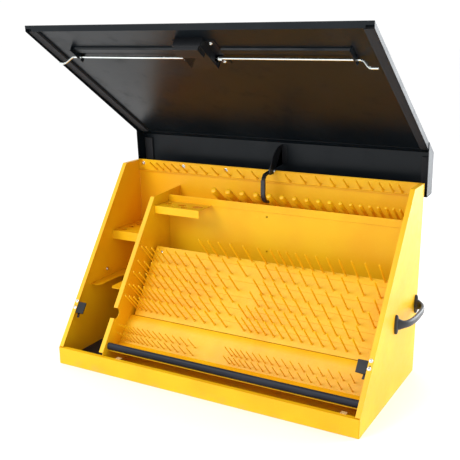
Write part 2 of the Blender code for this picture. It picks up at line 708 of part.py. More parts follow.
def build():
    for old in list(bpy.data.objects):
        bpy.data.objects.remove(old)

    yellow = [base_pan(), back_wall(), side_panel("side_panel_left", -1), side_panel("side_panel_right", 1),
              partition(), bulkhead(), upper_shelf(), back_rail(), socket_pegs(), main_pegboard(),
              lower_board(), screwdriver_rack(), hole_rack(), slot_rack()]
    for number, (place, left, right) in enumerate(PIN_ROWS, 1):
        yellow.append(pin_row(f"pin_row_{number}_left", place, spread(*left)))
        yellow.append(pin_row(f"pin_row_{number}_right", place, spread(*right)))
    for number, place, length in ((1, 32.0, 54.0), (2, 54.0, 48.0)):
        yellow.append(tray_pins(f"tray_pins_{number}_left", place, length, spread(-288.0, 9.5, 1.35, 14)))
        yellow.append(tray_pins(f"tray_pins_{number}_right", place, length, spread(56.0, 14.2, 1.0, 17)))
    dress(yellow, YELLOW, 0.38, 0.0)

    dress([floor_mat(), front_bumper()], RUBBER, 0.55, 0.0)
    dress([lip_tab("lip_tab_left", -254.0), lip_tab("lip_tab_right", 411.0)], TAN, 0.6, 0.0)
    dress([handle("handle_left", -1), handle("handle_right", 1), striker("striker_left", -1),
           striker("striker_right", 1)], BLACK, 0.4, 0.0)
    dress([hinge_body_leaf(), hinge_pin()], ZINC, 0.35, 1.0)

    lid_pivot = pivot("lid_pivot", None, (0.0, HINGE_Y, HINGE_Z))
    paddle_pivot = pivot("paddle_pivot", lid_pivot, on_lid(0.0, LATCH_HINGE, 4.0))
    cam_pivot = pivot("cam_pivot", lid_pivot, on_lid(0.0, CAM_PLACE, 0.0))
    lock_pivot = pivot("lock_pivot", lid_pivot, on_lid(0.0, LOCK_PLACE, 0.0))
    stay_pivot = pivot("stay_pivot", lid_pivot, (0.0, *shut(STAY_PIVOT)))

    black = [lid_main_panel(), lid_rear_panel(), stiffener("stiffener_left", -54.0, -376.0),
             stiffener("stiffener_right", 64.0, 386.0), latch_housing(), latch_dish(), stay_plate()]
    dress(black, BLACK, 0.35, 0.0)
    seals = [lid_seal("lid_seal_left", -1), lid_seal("lid_seal_right", 1), top_seal("top_seal_left", -1),
             top_seal("top_seal_right", 1)]
    dress(seals, RUBBER, 0.8, 0.0)
    rods = [latch_rod("latch_rod_left", -1), latch_rod("latch_rod_right", 1)]
    leaf = [hinge_lid_leaf(), stay_rivet()]
    paddle = latch_paddle()
    cam = latch_cam()
    lock = lock_cylinder()
    lever = stay_lever()
    dress(rods + leaf + [cam, lock], ZINC, 0.3, 1.0)
    dress([paddle, lever], BLACK, 0.4, 0.0)
    hang(black + seals + leaf + rods, lid_pivot)
    hang([paddle], paddle_pivot)
    hang([cam], cam_pivot)
    hang([lock], lock_pivot)
    hang([lever], stay_pivot)
    lid_pivot.rotation_euler = (-math.radians(LID_OPEN), 0.0, 0.0)


build()
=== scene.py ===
import json
import math

import bmesh
import bpy
import numpy as np
from mathutils import Matrix, Vector


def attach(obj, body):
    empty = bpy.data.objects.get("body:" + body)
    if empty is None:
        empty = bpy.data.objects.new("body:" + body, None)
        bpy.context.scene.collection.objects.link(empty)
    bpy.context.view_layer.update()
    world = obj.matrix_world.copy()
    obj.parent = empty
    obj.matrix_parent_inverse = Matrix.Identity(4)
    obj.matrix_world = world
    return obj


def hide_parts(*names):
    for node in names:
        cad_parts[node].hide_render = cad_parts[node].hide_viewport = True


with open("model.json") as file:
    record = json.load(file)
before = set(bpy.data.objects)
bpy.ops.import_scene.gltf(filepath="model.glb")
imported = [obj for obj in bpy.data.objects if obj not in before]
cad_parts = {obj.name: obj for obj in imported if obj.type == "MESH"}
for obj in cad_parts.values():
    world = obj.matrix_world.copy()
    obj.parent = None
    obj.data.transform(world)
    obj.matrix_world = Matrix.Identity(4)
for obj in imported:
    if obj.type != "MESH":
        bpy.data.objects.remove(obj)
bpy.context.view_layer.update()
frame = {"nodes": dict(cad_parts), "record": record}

bodyOf = {node: body for body, nodes in frame["record"]["behaviour"]["bodies"].items() for node in nodes}
slotOf = {part["node"]: part["material_slot"] for part in frame["record"]["subparts"]}
print("frame loaded:", len(bodyOf), "nodes")

mm = 0.001
turn = 2 * math.pi

box = {"front": -0.218, "back": 0.218, "height": 0.5346, "lip": 0.0493, "topDepth": 0.0863}
slantAngle = math.atan2(box["height"] - box["lip"], 2 * box["back"] - box["topDepth"])
alongSlant = np.array([0.0, math.cos(slantAngle), math.sin(slantAngle)])
offSlant = np.array([0.0, -math.sin(slantAngle), math.cos(slantAngle)])
lipTop = np.array([0.0, box["front"], box["lip"]])
sideways = np.array([1.0, 0.0, 0.0])

lid = {"edge": np.array([0.0, -0.227, 0.0505]), "lift": 0.008, "opening": math.radians(87.1),
       "hinge": np.array([0.0, 0.2323, 0.5086])}


def onSlant(x, place, lift):
    # a point at x, up the slant by place and off it by lift
    return lipTop + x * sideways + place * alongSlant + lift * offSlant


def raiseLid(points):
    # turns points of the closed lid about the hinge line to where they are with the lid up
    points = np.asarray(points, float)
    c, s = math.cos(lid["opening"]), math.sin(lid["opening"])
    spin = np.array([[1, 0, 0], [0, c, s], [0, -s, c]])
    return (points - lid["hinge"]) @ spin.T + lid["hinge"]


def onLid(x, place, lift):
    # a point of the raised lid: place from its front edge, lift above the plane of the box's slant
    closed = lid["edge"] + x * sideways + place * alongSlant + (lift - lid["lift"]) * offSlant
    return raiseLid(closed)


class Wire:
    # one output of a node, usable in sums; each sum adds a Math node
    def __init__(self, paint, socket):
        self.paint = paint
        self.socket = socket

    def work(self, operation, first, second):
        return self.paint.node("Math", {"operation": operation}, {0: first, 1: second})

    def __add__(self, other):
        return self.work("ADD", self, other)

    def __radd__(self, other):
        return self.work("ADD", other, self)

    def __sub__(self, other):
        return self.work("SUBTRACT", self, other)

    def __rsub__(self, other):
        return self.work("SUBTRACT", other, self)

    def __mul__(self, other):
        return self.work("MULTIPLY", self, other)

    def __rmul__(self, other):
        return self.work("MULTIPLY", other, self)

    def band(self, low, high):
        # 0 below low, 1 above high, smooth in between
        return self.paint.node("MapRange", {"interpolation_type": "SMOOTHSTEP", "clamp": True},
                               {"Value": self, "From Min": low, "From Max": high})


class Paint:
    # one material and the nodes that feed its shader
    def __init__(self, name, **fixed):
        self.material = bpy.data.materials.new(name)
        self.material.use_nodes = True
        self.tree = self.material.node_tree
        self.shader = self.tree.nodes["Principled BSDF"]
        for key, value in fixed.items():
            self.shader.inputs[key.replace("_", " ")].default_value = value

    def node(self, kind, settings=None, inputs=None, output=0):
        made = self.tree.nodes.new("ShaderNode" + kind)
        for key, value in (settings or {}).items():
            setattr(made, key, value)
        for key, value in (inputs or {}).items():
            if isinstance(value, Wire):
                self.tree.links.new(value.socket, made.inputs[key])
            else:
                made.inputs[key].default_value = value
        return Wire(self, made.outputs[output])

    def place(self, scale=(1.0, 1.0, 1.0)):
        # the piece's own coordinates, stretched along each axis
        here = self.node("TexCoord", output="Object")
        return self.node("Mapping", {}, {"Vector": here, "Scale": scale})

    def axis(self, index):
        # one of the piece's own coordinates: 0, 1 or 2 for x, y or z
        here = self.node("TexCoord", output="Object")
        return self.node("SeparateXYZ", {}, {"Vector": here}, output=index)

    def noise(self, scale, detail=3.0, rough=0.5, stretch=(1.0, 1.0, 1.0)):
        return self.node("TexNoise", {}, {"Vector": self.place(stretch), "Scale": scale, "Detail": detail,
                                          "Roughness": rough})

    def cells(self, scale):
        # distance to the nearest of many scattered points
        return self.node("TexVoronoi", {}, {"Vector": self.place(), "Scale": scale}, "Distance")

    def blend(self, share, first, second):
        # colours go through a Mix node
        made = self.tree.nodes.new("ShaderNodeMix")
        made.data_type = "RGBA"
        for key, value in ((0, share), (6, first), (7, second)):
            if isinstance(value, Wire):
                self.tree.links.new(value.socket, made.inputs[key])
            else:
                made.inputs[key].default_value = value if key == 0 else (*value, 1.0)
        return Wire(self, made.outputs[2])

    def feed(self, name, wire):
        self.tree.links.new(wire.socket, self.shader.inputs[name])

    def relief(self, height, distance, strength=1.0):
        inputs = {"Height": height, "Distance": distance, "Strength": strength}
        bump = self.node("Bump", {}, inputs, "Normal")
        self.feed("Normal", bump)


yellowCoat = {"colour": (0.90, 0.51, 0.004), "warm": (0.87, 0.44, 0.003), "pale": (0.94, 0.60, 0.03),
              "grain": 620.0, "grainDepth": 0.00012, "roughness": 0.42}


def yellowPaint():
    # powder coat: orange-peel skin, slow colour drift, faint scuffs and dust low down
    c = yellowCoat
    paint = Paint("yellowPaint", IOR=1.5, Specular_IOR_Level=0.33)
    drift = paint.noise(7.0, 2.0).band(0.35, 0.65)
    fine = paint.noise(180.0, 4.0, 0.6)
    skin = paint.blend(drift, c["colour"], c["warm"])
    skin = paint.blend(fine.band(0.56, 0.75) * 0.35, skin, c["pale"])
    scuff = paint.noise(38.0, 6.0, 0.72, (0.35, 2.2, 2.2)).band(0.66, 0.74) * 0.22
    skin = paint.blend(scuff, skin, (0.70, 0.52, 0.16))
    low = (1.0 - paint.axis(2).band(0.0, 0.03)) * paint.noise(26.0, 5.0).band(0.45, 0.8) * 0.35
    skin = paint.blend(low, skin, (0.42, 0.30, 0.12))
    paint.feed("Base Color", skin)
    paint.feed("Roughness", c["roughness"] + paint.noise(55.0, 4.0) * 0.16 + scuff * 0.5 - 0.08)
    peel = paint.noise(c["grain"], 2.0, 0.4) + paint.noise(150.0, 1.0) * 0.8
    paint.relief(peel, c["grainDepth"], 0.55)
    return paint.material


blackCoat = {"colour": (0.004, 0.0065, 0.009), "dust": (0.014, 0.019, 0.023), "roughness": 0.33}


def blackPaint():
    # satin black powder coat with a soft bloom of dust and finger marks
    c = blackCoat
    paint = Paint("blackPaint", IOR=1.5, Specular_IOR_Level=0.2)
    bloom = paint.noise(5.0, 3.0).band(0.45, 0.8) * 0.35
    specks = paint.cells(420.0).band(0.12, 0.02) * paint.noise(30.0, 3.0).band(0.5, 0.7) * 0.4
    skin = paint.blend(bloom, c["colour"], c["dust"])
    skin = paint.blend(specks, skin, (0.05, 0.055, 0.06))
    paint.feed("Base Color", skin)
    marks = paint.noise(14.0, 5.0, 0.65).band(0.5, 0.75)
    paint.feed("Roughness", c["roughness"] + marks * 0.14 + bloom * 0.2)
    paint.relief(paint.noise(560.0, 2.0, 0.4) + paint.noise(140.0, 1.0) * 0.7, 0.00012, 0.5)
    return paint.material


def blackFitting():
    # smoother black on stampings, rubbed to grey in spots
    paint = Paint("blackFitting", IOR=1.5, Specular_IOR_Level=0.25)
    rubbed = paint.noise(240.0, 6.0, 0.7).band(0.66, 0.78) * paint.noise(24.0, 3.0).band(0.5, 0.7)
    skin = paint.blend(rubbed * 0.6, (0.006, 0.007, 0.009), (0.12, 0.12, 0.13))
    paint.feed("Base Color", skin)
    paint.feed("Metallic", rubbed * 0.5)
    paint.feed("Roughness", 0.3 + paint.noise(60.0, 4.0) * 0.2)
    paint.relief(paint.noise(700.0, 3.0), 0.00006, 0.4)
    return paint.material


def blackMoulding():
    # moulded plastic with fine spark-eroded texture and a soft sheen
    paint = Paint("blackMoulding", IOR=1.48, Coat_Weight=0.25, Coat_Roughness=0.25)
    wear = paint.noise(70.0, 5.0, 0.6).band(0.6, 0.75)
    skin = paint.blend(wear * 0.5, (0.009, 0.011, 0.016), (0.045, 0.05, 0.06))
    paint.feed("Base Color", skin)
    paint.feed("Roughness", 0.36 + wear * 0.12 + paint.noise(900.0, 1.0) * 0.08)
    paint.relief(paint.cells(1400.0), 0.00008, 0.5)
    return paint.material


def rubberSkin():
    # extruded rubber: fine lines along x, dusty bloom
    paint = Paint("rubber", IOR=1.5, Specular_IOR_Level=0.22)
    bloom = paint.noise(30.0, 5.0, 0.6, (0.3, 1.0, 1.0)).band(0.4, 0.75)
    skin = paint.blend(bloom * 0.7, (0.010, 0.013, 0.022), (0.03, 0.036, 0.05))
    paint.feed("Base Color", skin)
    paint.feed("Roughness", 0.42 + bloom * 0.22)
    lines = paint.noise(900.0, 2.0, 0.5, (0.02, 1.0, 1.0))
    paint.relief(lines + paint.noise(500.0, 2.0) * 0.4, 0.00012, 0.6)
    return paint.material


def foamSkin():
    # closed-cell foam, small pits, with the pit hollows painted darker as painted shade
    paint = Paint("foam", IOR=1.4)
    pits = paint.cells(900.0)
    # darker colour where the pits are hollow: painted shade
    paint.feed("Base Color", paint.blend(pits.band(0.1, 0.6), (0.006, 0.006, 0.007), (0.022, 0.023, 0.026)))
    paint.feed("Roughness", 0.75 + pits * 0.2)
    paint.relief(pits, 0.0004, 0.8)
    return paint.material


def zincPlate():
    # bright zinc: drawing lines along x, faint blue-green passivation, dull spots
    paint = Paint("zinc", Metallic=1.0)
    lines = paint.noise(1500.0, 3.0, 0.5, (0.02, 1.0, 1.0))
    tint = paint.noise(22.0, 4.0).band(0.4, 0.7)
    skin = paint.blend(tint, (0.80, 0.84, 0.83), (0.70, 0.76, 0.74))
    dull = paint.noise(160.0, 5.0, 0.7).band(0.6, 0.75)
    skin = paint.blend(dull * 0.35, skin, (0.42, 0.43, 0.42))
    paint.feed("Base Color", skin)
    paint.feed("Roughness", 0.2 + lines * 0.12 + dull * 0.2)
    paint.relief(lines, 0.00004, 0.5)
    return paint.material


def tanPlastic():
    # pale moulded plastic with a fine mottle
    paint = Paint("tanPlastic", IOR=1.46)
    mottle = paint.noise(300.0, 5.0, 0.6).band(0.35, 0.7)
    paint.feed("Base Color", paint.blend(mottle, (0.62, 0.34, 0.09), (0.75, 0.50, 0.22)))
    paint.feed("Roughness", 0.5 + mottle * 0.2)
    paint.relief(paint.noise(700.0, 2.0), 0.0001, 0.5)
    return paint.material


finishes = {"yellow_paint": yellowPaint(), "black_paint": blackPaint(), "black_fitting": blackFitting(),
            "black_moulding": blackMoulding(), "rubber": rubberSkin(), "foam": foamSkin(),
            "zinc": zincPlate(), "tan_plastic": tanPlastic()}
print("finishes made:", len(finishes))


def newPiece(name, points, faces, body, slot, smoothAngle=40.0):
    # a mesh piece at the origin from arrays of points and faces
    mesh = bpy.data.meshes.new(name)
    mesh.from_pydata(np.asarray(points, float).tolist(), [], [list(face) for face in faces])
    mesh.validate()
    mesh.materials.append(finishes[slot])
    mesh.shade_smooth()
    mesh.set_sharp_from_angle(angle=math.radians(smoothAngle))
    piece = bpy.data.objects.new(name, mesh)
    bpy.context.collection.objects.link(piece)
    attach(piece, body)
    return piece


def gridFaces(rows, columns, wrap=True, start=0):
    # quads between neighbouring rows of a grid; wrap joins the last column to the first
    spans = columns if wrap else columns - 1
    r, c = np.meshgrid(np.arange(rows - 1), np.arange(spans), indexing="ij")
    after = (c + 1) % columns
    above = r + 1
    corners = [r * columns + c, r * columns + after, above * columns + after, above * columns + c]
    quads = np.stack(corners, -1)
    return (quads.reshape(-1, 4) + start).tolist()


def frameAlong(direction):
    # two unit vectors at right angles to a direction and to each other
    direction = np.asarray(direction, float) / np.linalg.norm(direction)
    helper = np.array([1.0, 0.0, 0.0]) if abs(direction[0]) < 0.9 else np.array([0.0, 0.0, 1.0])
    side = np.cross(helper, direction)
    side /= np.linalg.norm(side)
    return side, np.cross(direction, side)


def turnedShapes(centres, axis, profile, sides=16):
    # for each centre: rings of radius r at height h along the axis, from (r, h) pairs; ends closed by a fan
    centres = np.atleast_2d(centres)
    axis = np.asarray(axis, float) / np.linalg.norm(axis)
    side, up = frameAlong(axis)
    angle = np.arange(sides) * turn / sides
    ring = np.cos(angle)[:, None] * side + np.sin(angle)[:, None] * up
    profile = np.asarray(profile, float)
    shape = profile[:, 0, None, None] * ring + profile[:, 1, None, None] * axis
    shape = shape.reshape(-1, 3)
    points = (centres[:, None] + shape[None]).reshape(-1, 3)
    faces = []
    each = len(profile) * sides
    for index in range(len(centres)):
        first = index * each
        faces += gridFaces(len(profile), sides, True, first)
        faces.append(list(range(first, first + sides))[::-1])
        faces.append(list(range(first + each - sides, first + each)))
    return points, faces


def merged(parts):
    # several (points, faces) pairs as one
    points, faces, first = [], [], 0
    for somePoints, someFaces in parts:
        points.append(np.asarray(somePoints))
        faces += [[index + first for index in face] for face in someFaces]
        first += len(somePoints)
    return np.concatenate(points), faces


def tubeAlong(path, wide, high, sides=24, power=2.0, sideAxis=(1.0, 0.0, 0.0)):
    # a superellipse section carried along a path; wide and high may be numbers or one value per point
    path = np.asarray(path, float)
    run = np.gradient(path, axis=0)
    run /= np.linalg.norm(run, axis=1)[:, None]
    side = np.asarray(sideAxis, float) - (run @ np.asarray(sideAxis, float))[:, None] * run
    side /= np.linalg.norm(side, axis=1)[:, None]
    up = np.cross(run, side)
    angle = np.arange(sides) * turn / sides
    c = np.sign(np.cos(angle)) * np.abs(np.cos(angle)) ** (2 / power)
    s = np.sign(np.sin(angle)) * np.abs(np.sin(angle)) ** (2 / power)
    wide = np.broadcast_to(wide, len(path))[:, None, None]
    high = np.broadcast_to(high, len(path))[:, None, None]
    points = path[:, None] + wide * c[None, :, None] * side[:, None] + high * s[None, :, None] * up[:, None]
    count = len(path) * sides
    faces = gridFaces(len(path), sides)
    faces.append(list(range(sides))[::-1])
    faces.append(list(range(count - sides, count)))
    return points.reshape(-1, 3), faces


sheet = {"merge": 0.000004, "flatWithin": math.radians(0.4), "edge": 0.0005, "edgeSteps": 2,
         "sharpFrom": math.radians(32.0)}


def soften(node):
    # a copy of a folded sheet with its points merged and its edges rounded, shown in its place
    mesh = frame["nodes"][node].data.copy()
    shape = bmesh.new()
    shape.from_mesh(mesh)
    bmesh.ops.remove_doubles(shape, verts=shape.verts, dist=sheet["merge"])
    bmesh.ops.dissolve_limit(shape, angle_limit=sheet["flatWithin"], verts=shape.verts, edges=shape.edges)
    shape.to_mesh(mesh)
    shape.free()
    mesh.materials.clear()
    mesh.materials.append(finishes[slotOf[node]])
    mesh.shade_smooth()
    piece = bpy.data.objects.new(node + "_skin", mesh)
    bpy.context.collection.objects.link(piece)
    edge = piece.modifiers.new("edge", "BEVEL")
    edge.width = sheet["edge"]
    edge.segments = sheet["edgeSteps"]
    edge.limit_method = "ANGLE"
    edge.angle_limit = sheet["sharpFrom"]
    edge.use_clamp_overlap = False
    flat = piece.modifiers.new("flat", "WEIGHTED_NORMAL")
    flat.weight = 100
    flat.keep_sharp = False
    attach(piece, bodyOf[node])
    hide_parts(node)


def prism(outline, low, high):
    # a closed outline in y and z, carried along x from low to high
    outline = np.asarray(outline, float)
    count = len(outline)
    points = np.concatenate([np.column_stack([np.full(count, x), outline]) for x in (low, high)])
    faces = gridFaces(2, count)
    faces.append(list(range(count))[::-1])
    faces.append(list(range(count, 2 * count)))
    return points, faces


def spread(start, pitch, growth, count):
    # places along x whose pitch grows by the same step each time
    index = np.arange(count)
    return (start + pitch * index + growth * index * (index - 1) / 2) * mm


def knob(radius, length, crown=0.35):
    # profile of a round bar or head: straight side, then a quarter-round crown of the given share
    bend = np.linspace(0.0, math.pi / 2 - 0.25, 4)
    rise = radius * crown
    side = radius - rise + rise * np.cos(bend)
    top = length - rise + rise * np.sin(bend)
    return np.column_stack([np.append(radius, side), np.append(0.0, top)])


sheetNodes = ["base_pan", "back_wall", "side_panel_left", "side_panel_right", "partition", "rear_bulkhead",
              "upper_shelf", "main_pegboard", "lower_board", "screwdriver_rack", "hole_rack", "slot_rack",
              "lid_main_panel", "lid_rear_panel", "stiffener_left", "stiffener_right", "latch_housing",
              "latch_dish", "latch_paddle", "stay_plate", "stay_lever", "striker_left", "striker_right"]
for node in sheetNodes:
    soften(node)
print("sheets softened:", len(sheetNodes))

board = {"top": np.array([0.0, 0.062, 0.305]), "foot": np.array([0.0, -0.066, 0.129]), "left": -0.293,
         "right": 0.4552, "tilt": math.radians(47.5), "radius": 0.0023}
board["down"] = (board["foot"] - board["top"]) / np.linalg.norm(board["foot"] - board["top"])
board["out"] = np.array([0.0, board["down"][2], -board["down"][1]])
tray = {"top": np.array([0.0, -0.092, 0.114]), "foot": np.array([0.0, -0.128, 0.064]), "radius": 0.0014}
tray["down"] = (tray["foot"] - tray["top"]) / np.linalg.norm(tray["foot"] - tray["top"])
tray["out"] = np.array([0.0, tray["down"][2], -tray["down"][1]])
pinWay = np.array([0.0, -math.cos(board["tilt"]), math.sin(board["tilt"])])

# each row: place down its sheet and length, then start, first pitch, growth and count of its two groups
longPin = 0.082
pinRows = [(3, longPin, (-111, 30, 3.5, 6), (112, 23, 1.6, 11)),
           (48, longPin, (-289, 15.8, 3.48, 11), (80, 29, 2.0, 10)),
           (92, longPin, (-285, 22.6, 1.6, 11), (88, 29.5, 1.9, 10)),
           (127, longPin, (-288, 21, 1.9, 11), (88, 30, 1.6, 10)),
           (166, longPin, (-288, 15, 1.8, 13), (65, 24.4, 1.1, 12)),
           (200, longPin, (-289, 14, 1.96, 13), (65, 20.5, 1.25, 13))]
trayRows = [(32, 0.054, (-288, 9.5, 1.35, 14), (56, 14.2, 1.0, 17)),
            (54, 0.048, (-288, 9.5, 1.35, 14), (56, 14.2, 1.0, 17))]
stripEdges = [19, 66, 110, 145, 184]


def onSheet(plane, place, lift):
    # a point of a sloping sheet: place down it and lift off it, both in millimetres
    return plane["top"] + place * mm * plane["down"] + lift * mm * plane["out"]


pin = {"sides": 10, "crown": 0.8, "lift": 0.6, "weldRatio": 1.55, "weldHeight": 0.0028, "weldCrown": 0.7}


def combPiece(node, plane, place, reach, group):
    # a row of round pins, each in a small weld collar on a sloping sheet
    feet = onSheet(plane, place, pin["lift"]) + spread(*group)[:, None] * sideways
    collar = knob(plane["radius"] * pin["weldRatio"], pin["weldHeight"], pin["weldCrown"])
    pins = turnedShapes(feet, pinWay, knob(plane["radius"], reach, pin["crown"]), pin["sides"])
    welds = turnedShapes(feet + pin["lift"] * mm * plane["out"], pinWay, collar, pin["sides"])
    piece = newPiece(node + "_round", *merged([pins, welds]), bodyOf[node], "yellow_paint")
    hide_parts(node)


def makePins():
    # the long pins of the pegboard and the short ones of the tray, in a left and a right group
    for name, plane, rows in (("pin_row", board, pinRows), ("tray_pins", tray, trayRows)):
        for number, (place, reach, left, right) in enumerate(rows, 1):
            for side, group in (("left", left), ("right", right)):
                combPiece(f"{name}_{number}_{side}", plane, place, reach, group)


strip = {"start": -1.0, "gap": 0.6, "inset": 0.0006}


def makeStrips():
    # sheets lapped down the pegboard like shingles: flush at the top edge, proud at the lower one
    parts = []
    above = strip["start"]
    for edge in stripEdges:
        corners = ((above, 0.1), (above, 0.35), (edge - 0.4, 1.7), (edge, 1.4), (edge, 0.1))
        outline = np.array([onSheet(board, place, lift) for place, lift in corners])[:, 1:]
        parts.append(prism(outline, board["left"] + strip["inset"], board["right"] - strip["inset"]))
        above = edge + strip["gap"]
    newPiece("row_strips", *merged(parts), "cabinet", "yellow_paint", 20.0)


rail = {"face": 0.2147, "low": 0.5, "high": 0.5324, "sheet": 0.0015, "lip": 0.0052, "halfWidth": 0.4552,
        "reach": 0.05, "base": 0.506, "pinRadius": 0.0021, "heelRadius": 0.0034, "heelHeight": 0.006}


def makeBackRail():
    # folded strip on the back wall with slanting pins rising from its lower lip
    face, low, high = rail["face"], rail["low"], rail["high"]
    behind = face + rail["sheet"]
    front = face - rail["lip"]
    shelf = low + rail["sheet"]
    outline = [(behind, low), (behind, high), (face, high), (face, shelf), (front, shelf), (front, low)]
    folded = prism(outline, -rail["halfWidth"], rail["halfWidth"])
    xs = np.concatenate([spread(-388, 24, 2.55, 11), spread(72, 48, -2.9, 10)])
    feet = np.column_stack([xs, np.full_like(xs, face), np.full_like(xs, rail["base"])])
    bars = turnedShapes(feet, offSlant, knob(rail["pinRadius"], rail["reach"], pin["crown"]), pin["sides"])
    heel = knob(rail["heelRadius"], rail["heelHeight"], pin["weldCrown"])
    heels = turnedShapes(feet, offSlant, heel, pin["sides"])
    piece = newPiece("back_rail_round", *merged([folded, bars, heels]), "cabinet", "yellow_paint")
    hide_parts("back_rail")


peg = {"row": (-144, 48, -1.88, 18), "y": 0.21, "z": 0.4295, "thickest": 9.0, "step": 0.35, "reach": 0.078,
       "sunk": 0.9, "crown": 0.42, "sides": 22, "bar": (0.204, 0.2158, 0.4272, 0.4302),
       "barEnds": (-0.16, 0.43)}


def makePegs():
    # thick round pegs that get thinner to the right, with softly rounded ends, on a flat bar
    front, back, low, high = peg["bar"]
    parts = [prism([(front, low), (front, high), (back, high), (back, low)], *peg["barEnds"])]
    for index, x in enumerate(spread(*peg["row"])):
        radius = (peg["thickest"] - peg["step"] * index) * mm
        foot = np.array([x, peg["y"], peg["z"]]) + offSlant * radius * peg["sunk"]
        profile = knob(radius, peg["reach"] - radius * peg["sunk"], peg["crown"])
        parts.append(turnedShapes(foot, offSlant, profile, peg["sides"]))
    piece = newPiece("socket_pegs_round", *merged(parts), "cabinet", "yellow_paint")
    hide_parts("socket_pegs")


makePins()
makeStrips()
makeBackRail()
makePegs()
print("pins and pegs made")

bumper = {"back": -0.18, "heel": -0.183, "low": 0.061, "high": 0.081, "middle": 0.071, "depth": 0.0098,
          "half": 0.0108, "ends": (-0.3025, 0.455)}


def makeBumper():
    # half-round nose: y goes out by depth times the sine, z by half times the cosine
    b = bumper
    angle = np.linspace(0.0, math.pi * 0.94, 26)
    nose = np.column_stack([b["back"] - b["depth"] * np.sin(angle), b["middle"] + b["half"] * np.cos(angle)])
    behind = [(b["back"], b["low"]), (b["back"], b["high"])]
    outline = np.concatenate([behind, nose[1:], [(b["heel"], b["low"])]])
    piece = newPiece("front_bumper_round", *prism(outline, *b["ends"]), "cabinet", "rubber", 50.0)
    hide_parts("front_bumper")


grip = {"wall": 0.4573, "middle": 0.1103, "halfSpan": 0.0868, "height": 0.206, "out": 0.031, "power": 2.6,
        "standOff": 0.0025, "halfHigh": 0.0098, "halfThick": 0.0058, "flare": 0.0055, "flareThick": 0.0020,
        "footLong": 0.0265, "footWide": 0.0082, "footSides": 40}
# the foot's domed profile: share of its outline, and height off the wall
footDome = [(1.0, 0.0), (1.0, 0.0035), (0.97, 0.0052), (0.88, 0.0066), (0.7, 0.0076), (0.4, 0.0082)]


def makeHandle(side, node):
    # the bow's outward run follows a superellipse; its section swells where it meets the feet
    g = grip
    swing = np.linspace(0.0, math.pi, 61)
    along = -np.cos(swing)
    out = np.maximum(1.0 - np.abs(along) ** g["power"], 0.0) ** (1 / g["power"])
    path = np.column_stack([side * (g["wall"] + g["standOff"] + g["out"] * out),
                            g["middle"] + (g["halfSpan"] - 0.004) * along, np.full_like(swing, g["height"])])
    swell = np.exp(-((1.0 - np.abs(along)) / 0.035))
    high = g["halfHigh"] + g["flare"] * swell
    thick = g["halfThick"] + g["flareThick"] * swell
    parts = [tubeAlong(path, high, thick, 28, 2.5, (0.0, 0.0, 1.0))]
    sides = g["footSides"]
    angle = np.arange(sides) * turn / sides
    last = (len(footDome) - 1) * sides
    for end in (-1, 1):
        centre = g["middle"] + end * g["halfSpan"]
        rings = [np.column_stack([np.full(sides, side * (g["wall"] + lift)),
                                  centre + side * g["footWide"] * share * np.cos(angle),
                                  g["height"] + g["footLong"] * share * np.sin(angle)])
                 for share, lift in footDome]
        faces = gridFaces(len(rings), sides)
        faces.append(list(range(sides))[::-1])
        faces.append(list(range(last, last + sides)))
        parts.append((np.concatenate(rings), faces))
    piece = newPiece(node + "_smooth", *merged(parts), "cabinet", "black_moulding", 55.0)
    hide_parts(node)


makeBumper()
makeHandle(-1, "handle_left")
makeHandle(1, "handle_right")
print("rubber and handles made")

screw = {"bolt": 0.0042, "small": 0.0036}


def screwHead(name, place, way, radius, body):
    # domed head on a washer; the drive recess is a small black six-sided plug, painted shade of the recess
    place = np.asarray(place, float)
    way = np.asarray(way, float)
    washer = turnedShapes(place, way, knob(radius * 1.45, radius * 0.25, 0.15), 24)
    head = turnedShapes(place + way * radius * 0.2, way, knob(radius, radius * 0.85, 0.7), 24)
    newPiece(name, *merged([washer, head]), body, "zinc")
    # black six-sided plug in the head: painted shade of the drive recess
    driveShade = turnedShapes(place + way * radius * 0.62, way, knob(radius * 0.34, radius * 0.45, 0.05), 6)
    newPiece(name + "_drive_shade", *driveShade, body, "black_fitting")


railBolt = {"xs": (-0.438, -0.2885, -0.139), "z": 0.5225}
boardScrew = {"places": ((-0.270, 17.0), (0.446, 206.0)), "lift": 1.6}
handleBolt = {"x": 0.4553, "z": 0.221, "ends": (("front", 0.0235), ("rear", 0.1971))}
strikerScrew = {"x": 0.4498, "places": (0.1443, 0.1242), "lift": 0.0001}


def makeScrews():
    # bolts of the back rail and the handles, screws of the pegboard and the strikers
    forward = (0.0, -1.0, 0.0)
    for number, x in enumerate(railBolt["xs"], 1):
        centre = (x, rail["face"], railBolt["z"])
        screwHead(f"rail_bolt_{number}", centre, forward, screw["bolt"], "cabinet")
    for number, (x, place) in enumerate(boardScrew["places"], 1):
        centre = onSheet(board, place, boardScrew["lift"]) + x * sideways
        screwHead(f"board_screw_{number}", centre, board["out"], screw["small"], "cabinet")
    for side in (-1, 1):
        for end, y in handleBolt["ends"]:
            centre = (side * handleBolt["x"], y, handleBolt["z"])
            screwHead(f"handle_bolt_{side + 2}_{end}", centre, (-side, 0, 0), screw["bolt"], "cabinet")
        for number, place in enumerate(strikerScrew["places"], 1):
            centre = onSlant(side * strikerScrew["x"], place, strikerScrew["lift"])
            screwHead(f"striker_screw_{side + 2}_{number}", centre, offSlant, screw["small"], "cabinet")


makeScrews()

strikerTail = {"x": 0.437, "half": 0.0034, "top": 0.1215, "foot": 0.0985, "lift": -0.0135, "thick": 0.0016,
               "lean": 0.003}
strikerHoleShade = {"x": 0.4502, "place": 0.1309, "lift": 0.00005, "profile": [(0.0019, 0.0), (0.0017, 0.0002)]}


